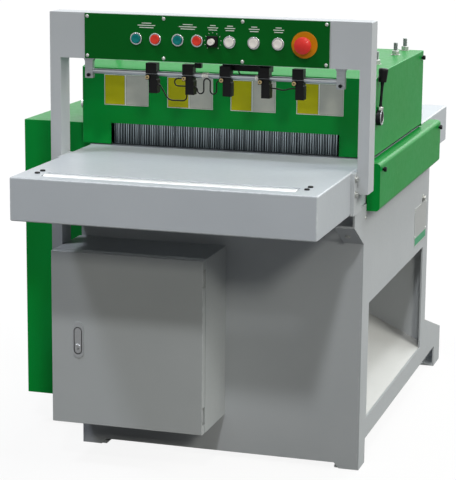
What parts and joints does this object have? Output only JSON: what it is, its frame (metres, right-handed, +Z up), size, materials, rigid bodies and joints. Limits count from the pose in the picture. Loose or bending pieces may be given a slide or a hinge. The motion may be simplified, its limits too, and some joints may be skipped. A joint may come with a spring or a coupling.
{
  "type": "multi rip saw",
  "caption": "Floor-standing multi rip saw with folded infeed and outfeed tables, a gantry control panel, a hooded saw box, an anti-kickback finger curtain and an electrical cabinet.",
  "frame": {"origin": "centre of the four floor anchor holes, on the floor", "axes": "+X to the operator's right, +Y along the feed from infeed to outfeed, +Z up"},
  "size_m": [0.965, 1.558, 1.117],
  "materials": {
    "grey_paint": "satin powder coat",
    "pale_paint": "satin powder coat",
    "green_paint": "gloss powder coat",
    "bright_steel": "ground",
    "dark_steel": "machined and blackened",
    "zinc": "zinc plated",
    "black_plastic": "moulded",
    "belt_rubber": "matte",
    "blue_cap": "moulded",
    "red_cap": "moulded",
    "white_cap": "moulded",
    "yellow_ring": "moulded"
  },
  "bodies": {
    "machine": {"side_walls": "grey_paint", "end_panels": "grey_paint", "foot_plates": "grey_paint", "sawdust_chute": "pale_paint", "bed_plate": "bright_steel", "table_brackets": "grey_paint", "infeed_table": "pale_paint", "roller_blocks": "black_plastic", "outfeed_table": "pale_paint", "gantry_frame": "grey_paint", "frame_bolts": "zinc", "control_panel": "green_paint", "button_bezels": "zinc", "dial_body": "black_plastic", "estop_ring": "yellow_ring", "laser_rail": "bright_steel", "laser_clamps": "black_plastic", "laser_supply": "black_plastic", "laser_leads": "black_plastic", "saw_hood": "green_paint", "cover_knobs": "black_plastic", "side_cover": "green_paint", "belt_cover": "green_paint", "drive_belts": "belt_rubber", "main_motor": "grey_paint", "bearing_blocks": "dark_steel", "feed_chain": "dark_steel", "feed_gearmotor": "grey_paint", "pressure_studs": "zinc", "cabinet_box": "grey_paint", "contactor_plate": "pale_paint"},
    "saw_start_button": {"saw_start_button": "blue_cap"},
    "saw_stop_button": {"saw_stop_button": "red_cap"},
    "feed_start_button": {"feed_start_button": "blue_cap"},
    "feed_stop_button": {"feed_stop_button": "red_cap"},
    "reset_button": {"reset_button": "white_cap"},
    "laser_button": {"laser_button": "white_cap"},
    "lit_button": {"lit_button": "white_cap"},
    "speed_dial": {"dial_knob": "white_cap"},
    "estop_plunger": {"estop_stem": "black_plastic"},
    "estop_mushroom": {"estop_head": "red_cap"},
    "idler": {"infeed_roller": "bright_steel"},
    "lift_shaft": {"finger_shaft": "bright_steel", "finger_lever": "black_plastic"},
    "finger_curtain": {"kickback_fingers": "bright_steel"},
    "saw_spindle": {"saw_arbor": "dark_steel", "saw_blades": "bright_steel", "arbor_pulley": "dark_steel"},
    "motor_drive": {"motor_pulley": "dark_steel"},
    "front_feed": {"feed_roller_front": "bright_steel"},
    "rear_feed": {"feed_roller_rear": "bright_steel"},
    "gear_output": {"drive_sprocket": "dark_steel"},
    "front_carrier": {"pressure_carrier_front": "dark_steel"},
    "rear_carrier": {"pressure_carrier_rear": "dark_steel"},
    "front_presser": {"pressure_roller_front": "bright_steel"},
    "rear_presser": {"pressure_roller_rear": "bright_steel"},
    "door": {"cabinet_door": "grey_paint", "lock_case": "dark_steel"},
    "door_handle": {"lock_handle": "bright_steel"},
    "door_button": {"lock_button": "bright_steel"}
  },
  "joints": [
    {"name": "saw_start_button_press", "type": "slide", "parent": "machine", "child": "saw_start_button", "axis": [0, 1, 0], "range_m": [0, 0.003], "stiffness_N_per_m": 300},
    {"name": "saw_stop_button_press", "type": "slide", "parent": "machine", "child": "saw_stop_button", "axis": [0, 1, 0], "range_m": [0, 0.003], "stiffness_N_per_m": 300},
    {"name": "feed_start_button_press", "type": "slide", "parent": "machine", "child": "feed_start_button", "axis": [0, 1, 0], "range_m": [0, 0.003], "stiffness_N_per_m": 300},
    {"name": "feed_stop_button_press", "type": "slide", "parent": "machine", "child": "feed_stop_button", "axis": [0, 1, 0], "range_m": [0, 0.003], "stiffness_N_per_m": 300},
    {"name": "reset_button_press", "type": "slide", "parent": "machine", "child": "reset_button", "axis": [0, 1, 0], "range_m": [0, 0.003], "stiffness_N_per_m": 300},
    {"name": "laser_button_press", "type": "slide", "parent": "machine", "child": "laser_button", "axis": [0, 1, 0], "range_m": [0, 0.003], "stiffness_N_per_m": 300},
    {"name": "lit_button_press", "type": "slide", "parent": "machine", "child": "lit_button", "axis": [0, 1, 0], "range_m": [0, 0.003], "stiffness_N_per_m": 300},
    {"name": "dial_turn", "type": "hinge", "parent": "machine", "child": "speed_dial", "pos_m": [0.016, -0.6595, 1.06], "axis": [0, -1, 0], "range_deg": [-140, 140]},
    {"name": "estop_press", "type": "slide", "parent": "machine", "child": "estop_plunger", "axis": [0, 1, 0], "range_m": [0, 0.004]},
    {"name": "estop_release", "type": "hinge", "parent": "estop_plunger", "child": "estop_mushroom", "pos_m": [0.239, -0.6595, 1.06], "axis": [0, 1, 0], "range_deg": [0, 45]},
    {"name": "idler_spin", "type": "hinge", "parent": "machine", "child": "idler", "pos_m": [0, -0.9355, 0.746], "axis": [1, 0, 0], "continuous": true},
    {"name": "lever_lift", "type": "hinge", "parent": "machine", "child": "lift_shaft", "pos_m": [0, -0.4545, 0.87], "axis": [1, 0, 0], "range_deg": [0, 35]},
    {"name": "finger_swing", "type": "hinge", "parent": "lift_shaft", "child": "finger_curtain", "pos_m": [0, -0.4545, 0.87], "axis": [1, 0, 0], "range_deg": [0, 60]},
    {"name": "spindle_spin", "type": "hinge", "parent": "machine", "child": "saw_spindle", "pos_m": [0, -0.1395, 0.7], "axis": [1, 0, 0], "continuous": true},
    {"name": "motor_spin", "type": "hinge", "parent": "machine", "child": "motor_drive", "pos_m": [0, -0.1395, 0.19], "axis": [1, 0, 0], "continuous": true},
    {"name": "rear_feed_spin", "type": "hinge", "parent": "machine", "child": "rear_feed", "pos_m": [0, 0.0435, 0.731], "axis": [1, 0, 0], "continuous": true},
    {"name": "front_feed_spin", "type": "hinge", "parent": "machine", "child": "front_feed", "pos_m": [0, -0.3145, 0.731], "axis": [1, 0, 0], "continuous": true},
    {"name": "gear_spin", "type": "hinge", "parent": "machine", "child": "gear_output", "pos_m": [0, 0.0435, 0.57084], "axis": [1, 0, 0], "continuous": true},
    {"name": "front_carrier_rise", "type": "slide", "parent": "machine", "child": "front_carrier", "axis": [0, 0, 1], "range_m": [0, 0.04]},
    {"name": "rear_carrier_rise", "type": "slide", "parent": "machine", "child": "rear_carrier", "axis": [0, 0, 1], "range_m": [0, 0.04]},
    {"name": "front_presser_spin", "type": "hinge", "parent": "front_carrier", "child": "front_presser", "pos_m": [0, -0.3145, 0.813], "axis": [1, 0, 0], "continuous": true},
    {"name": "rear_presser_spin", "type": "hinge", "parent": "rear_carrier", "child": "rear_presser", "pos_m": [0, 0.0435, 0.813], "axis": [1, 0, 0], "continuous": true},
    {"name": "door_swing", "type": "hinge", "parent": "machine", "child": "door", "pos_m": [0.012, -0.719, 0.329], "axis": [0, 0, 1], "range_deg": [0, 110]},
    {"name": "handle_pop", "type": "hinge", "parent": "door", "child": "door_handle", "pos_m": [-0.301, -0.7295, 0.3475], "axis": [-1, 0, 0], "range_deg": [0, 30]},
    {"name": "lock_press", "type": "slide", "parent": "door", "child": "door_button", "axis": [0, 1, 0], "range_m": [0, 0.0025], "stiffness_N_per_m": 300}
  ],
  "couplings": [
    {"joint": "motor_spin", "follows": "spindle_spin", "ratio": 0.7059},
    {"joint": "front_feed_spin", "follows": "rear_feed_spin", "ratio": 1},
    {"joint": "gear_spin", "follows": "rear_feed_spin", "ratio": 1}
  ]
}
